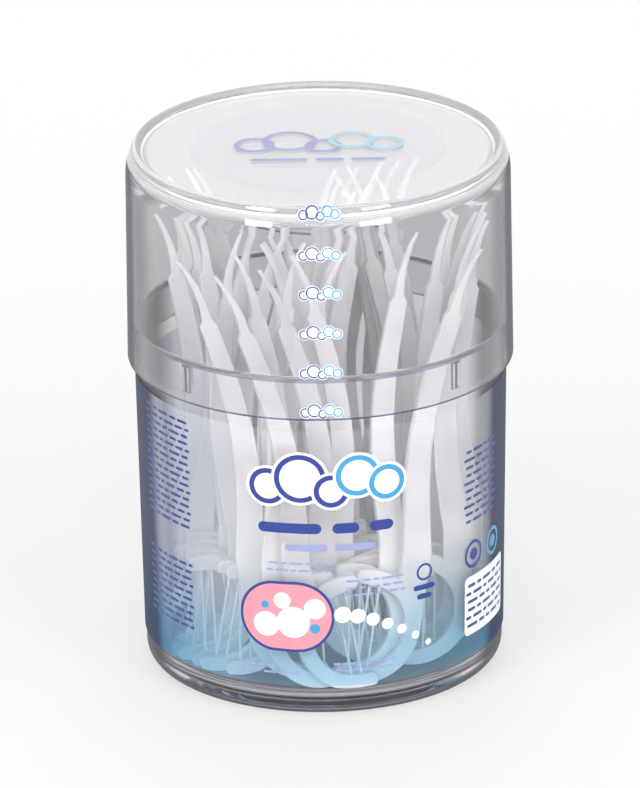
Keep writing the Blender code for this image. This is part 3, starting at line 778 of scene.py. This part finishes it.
# Top label. A round clear polyester film is stuck on the lid's panel, printed with the same
# bubbles in thin violet and pale blue ink.
DISC_RADIUS = 22.2 * mm
TOP_PRINT_SCALE = 1.05 * mm
TOP_PRINT_BACK = 1.5 * mm

disc = spun([(0, PANEL_TOP + film_outside, 0), (DISC_RADIUS, PANEL_TOP + film_outside, 0),
             (DISC_RADIUS, PANEL_TOP + film_inside, 0), (0, PANEL_TOP + film_inside, 0)])
disc = piece("top_film", disc, [clear_film], "lid_body")
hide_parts("lid_label")


def on_panel(x, z, lift):
    """A place on the lid's panel, z away from the front."""
    return Vector((x, z, PANEL_TOP + lift))


top_art = Print()
top_art.bubbles(0, TOP_PRINT_BACK, TOP_PRINT_SCALE, ("violet", "pale_blue", None))
top_art.words("violet", 0, -7.2 * mm, (10.0 * mm, 5.0 * mm, 6.0 * mm), 1.2 * mm)
top_art.lay("top_print", on_panel, "lid_body")

# Seal strip. A narrow clear polyester film is stuck over the bead and down the front of the lid
# to just above its edge, printed with one small row of bubbles after another.
SEAL_WIDTH = 9.0 * mm
SEAL_STOP = 0.6 * mm
SEAL_FOOT = LID_EDGE + SEAL_STOP
SEAL_STEPS = 12
SLOPE_REACH = 0.3 * mm
MARK_COUNT = 6
FIRST_MARK = 1.7 * mm
MARK_SPACING = 7.13 * mm
MARK_SCALE = 0.26 * mm

seal = bmesh.new()
line = [seal.verts.new((radius, 0, z))
        for radius, z, _ in [*lid_outside, (lid_radius(SEAL_FOOT), SEAL_FOOT, 0)]]
for first, second in zip(line, line[1:]):
    seal.edges.new((first, second))
for vert, (_, _, rounding) in zip(line[1:], lid_outside[1:]):
    bmesh.ops.bevel(seal, geom=[vert], offset=rounding, offset_type="OFFSET",
                    affect="VERTICES", segments=6, profile=0.5, material=-1)
seal_turn = SEAL_WIDTH / LID_EDGE_RADIUS
front = Matrix.Rotation(-math.pi / 2 - seal_turn / 2, 3, "Z")
bmesh.ops.rotate(seal, verts=seal.verts, cent=(0, 0, 0), matrix=front)
seal_line = sorted({(round(v.co.xy.length, 7), round(v.co.z, 7)) for v in seal.verts},
                   key=lambda p: (-p[1], p[0]))
bmesh.ops.spin(seal, geom=seal.verts[:] + seal.edges[:], cent=(0, 0, 0), axis=(0, 0, 1),
               angle=seal_turn, steps=SEAL_STEPS)
bmesh.ops.remove_doubles(seal, verts=seal.verts, dist=MERGE_DISTANCE)
bmesh.ops.recalc_face_normals(seal, faces=seal.faces)
if sum(face.normal.y for face in seal.faces) > 0:
    bmesh.ops.reverse_faces(seal, faces=seal.faces)
seal.normal_update()
for vert, way in [(vert, vert.normal.copy()) for vert in seal.verts]:
    vert.co += way * film_outside
bmesh.ops.solidify(seal, geom=seal.faces[:], thickness=FILM_THICKNESS)
seal = piece("seal_film", seal, [clear_film], "lid_body")
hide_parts("seal_strip")

steps = [math.dist(a, b) for a, b in zip(seal_line, seal_line[1:])]
seal_lengths = np.concatenate([[0], np.cumsum(steps)])


def on_seal(x, z, lift):
    """A place on the strip, -z down its length from the bead."""
    radius = np.interp(-z, seal_lengths, [p[0] for p in seal_line])
    height = np.interp(-z, seal_lengths, [p[1] for p in seal_line])
    ahead = np.interp(-z + SLOPE_REACH, seal_lengths, [p[0] for p in seal_line])
    behind = np.interp(-z - SLOPE_REACH, seal_lengths, [p[0] for p in seal_line])
    slope = min(max((ahead - behind) / (2 * SLOPE_REACH), 0), 1)
    radius += lift * math.sqrt(1 - slope ** 2)
    turn = x / LID_EDGE_RADIUS
    return Vector((radius * math.sin(turn), -radius * math.cos(turn), height + lift * slope))


seal_art = Print()
for number in range(MARK_COUNT):
    seal_art.bubbles(0, -FIRST_MARK - MARK_SPACING * number, MARK_SCALE)
seal_art.lay("seal_print", on_seal, "lid_body")

# Studio. The canister stands on white paper in a white room, as for a catalogue photograph, under
# two soft boxes high in front, one above the camera, two low in front, one overhead and two behind.
FLOOR_SIZE = 3.0
SHADOW_REACH = 0.06
PAPER_END = 0.30
PAPER_GLOW = 0.5
FILL_BELOW = 0.36
FILL_ABOVE = 0.56
LOWEST_FILL = -0.2

floor = bmesh.new()
bmesh.ops.create_grid(floor, x_segments=1, y_segments=1, size=FLOOR_SIZE)
mesh = bpy.data.meshes.new("floor")
floor.to_mesh(mesh)
floor.free()
floor = bpy.data.objects.new("floor", mesh)
bpy.context.scene.collection.objects.link(floor)


def seen_as_background(tree):
    """1 for the rays that show the white background: camera, glossy and transmission rays."""
    path = add_node(tree, "ShaderNodeLightPath")
    seen = path.outputs["Is Camera Ray"]
    for ray in ("Is Glossy Ray", "Is Transmission Ray"):
        seen = add_node(tree, "ShaderNodeMath", {0: seen, 1: path.outputs[ray]},
                        operation="MAXIMUM").outputs[0]
    return seen


# Matte paper that keeps the shadow round the canister and fades to white further out.
paper, tree, out = new_material("floor_paper")
place = add_node(tree, "ShaderNodeTexCoord")
reach = add_node(tree, "ShaderNodeVectorMath", {0: place.outputs["Object"]}, operation="LENGTH")
fade = add_node(tree, "ShaderNodeMapRange", {
    "Value": reach.outputs["Value"], "From Min": SHADOW_REACH, "From Max": PAPER_END,
    "To Min": PAPER_GLOW}, interpolation_type="SMOOTHSTEP")
share = add_node(tree, "ShaderNodeMath", {0: fade.outputs["Result"], 1: seen_as_background(tree)},
                 operation="MULTIPLY")
matte = add_node(tree, "ShaderNodeBsdfDiffuse", {"Color": linear("FAFAFA")})
glow = add_node(tree, "ShaderNodeEmission", {"Color": linear("FFFFFF"), "Strength": 1.0})
mix = add_node(tree, "ShaderNodeMixShader", {0: share.outputs[0], 1: matte.outputs[0],
                                            2: glow.outputs[0]})
tree.links.new(mix.outputs[0], out.inputs["Surface"])
floor.data.materials.append(paper)

# The room is white where it is seen. Its light on the canister is softer, most of it from above.
world = bpy.data.worlds.new("studio")
bpy.context.scene.world = world
world.use_nodes = True
tree = world.node_tree
tree.nodes.clear()
out = add_node(tree, "ShaderNodeOutputWorld")
way = add_node(tree, "ShaderNodeTexCoord")
height = add_node(tree, "ShaderNodeSeparateXYZ", {0: way.outputs["Generated"]})
fill = add_node(tree, "ShaderNodeMapRange", {
    "Value": height.outputs["Z"], "From Min": LOWEST_FILL, "From Max": 1.0,
    "To Min": FILL_BELOW, "To Max": FILL_ABOVE})
strength = add_node(tree, "ShaderNodeMix", {0: seen_as_background(tree),
                                           2: fill.outputs["Result"], 3: 1.0})
background = add_node(tree, "ShaderNodeBackground", {"Color": linear("FFFFFF"),
                                                    "Strength": strength.outputs[0]})
tree.links.new(background.outputs[0], out.inputs["Surface"])

LAMP_AIM = Vector((0, 0, 45 * mm))


def soft_box(name, azimuth, elevation, distance, width, height, level):
    """A soft box aimed at the canister; level is how bright it alone lights a white card."""
    light = bpy.data.lights.new(name, "AREA")
    light.shape = "RECTANGLE"
    light.size, light.size_y = width, height
    light.energy = level * math.pi ** 2 * distance ** 2
    azimuth, elevation = math.radians(azimuth), math.radians(elevation)
    way = Vector((math.sin(azimuth) * math.cos(elevation),
                  -math.cos(azimuth) * math.cos(elevation), math.sin(elevation)))
    lamp = bpy.data.objects.new(name, light)
    lamp.location = LAMP_AIM + way * distance
    lamp.rotation_mode = "QUATERNION"
    lamp.rotation_quaternion = way.to_track_quat("Z", "Y")
    bpy.context.scene.collection.objects.link(lamp)


# Degrees round from the front and up, then metres off, width and height in metres, and level.
soft_box("left_box", -36, 36, 0.75, 0.22, 0.20, 0.19)
soft_box("right_box", 36, 36, 0.75, 0.22, 0.20, 0.14)
soft_box("front_box", 0, 33, 1.2, 0.30, 0.24, 0.17)
soft_box("low_left_box", -35, 5, 1.2, 0.34, 0.26, 0.19)
soft_box("low_right_box", 33, 5, 1.2, 0.40, 0.26, 0.17)
soft_box("top_box", 0, 78, 0.8, 0.50, 0.50, 0.06)
soft_box("back_box", 180, 45, 0.8, 0.50, 0.20, 0.20)
soft_box("rear_box", 180, 22, 0.8, 0.50, 0.20, 0.015)

# The camera stands well back and looks down at the canister, turned less than a degree.
IMAGE_HEIGHT = 788
PIXELS_PER_METRE = 5746
CAMERA_AIM = Vector((-0.2 * mm, 0, 47.9 * mm))
CAMERA_DISTANCE = 1.7
CAMERA_ELEVATION = math.radians(21.5)
CAMERA_ROLL = math.radians(-0.8)
camera = bpy.data.cameras.new("camera")
camera.sensor_width = 36.0
camera.lens = camera.sensor_width * PIXELS_PER_METRE * CAMERA_DISTANCE / IMAGE_HEIGHT
view = bpy.data.objects.new("camera", camera)
back = Vector((0, -math.cos(CAMERA_ELEVATION), math.sin(CAMERA_ELEVATION)))
view.location = CAMERA_AIM + back * CAMERA_DISTANCE
view.rotation_mode = "QUATERNION"
view.rotation_quaternion = (Matrix.Rotation(CAMERA_ROLL, 3, back).to_quaternion()
                            @ back.to_track_quat("Z", "Y"))
camera.clip_start, camera.clip_end = 0.05, 20.0
bpy.context.scene.collection.objects.link(view)
bpy.context.scene.camera = view

# A path of light crosses a dozen clear walls, and at the lid's bead it turns back many times
# inside the wall, so the paths are let run deep.
BOUNCES = 64
scene = bpy.context.scene
scene.view_settings.view_transform = "Standard"
scene.cycles.max_bounces = BOUNCES
scene.cycles.transmission_bounces = BOUNCES
scene.cycles.transparent_max_bounces = BOUNCES
scene.cycles.glossy_bounces = BOUNCES
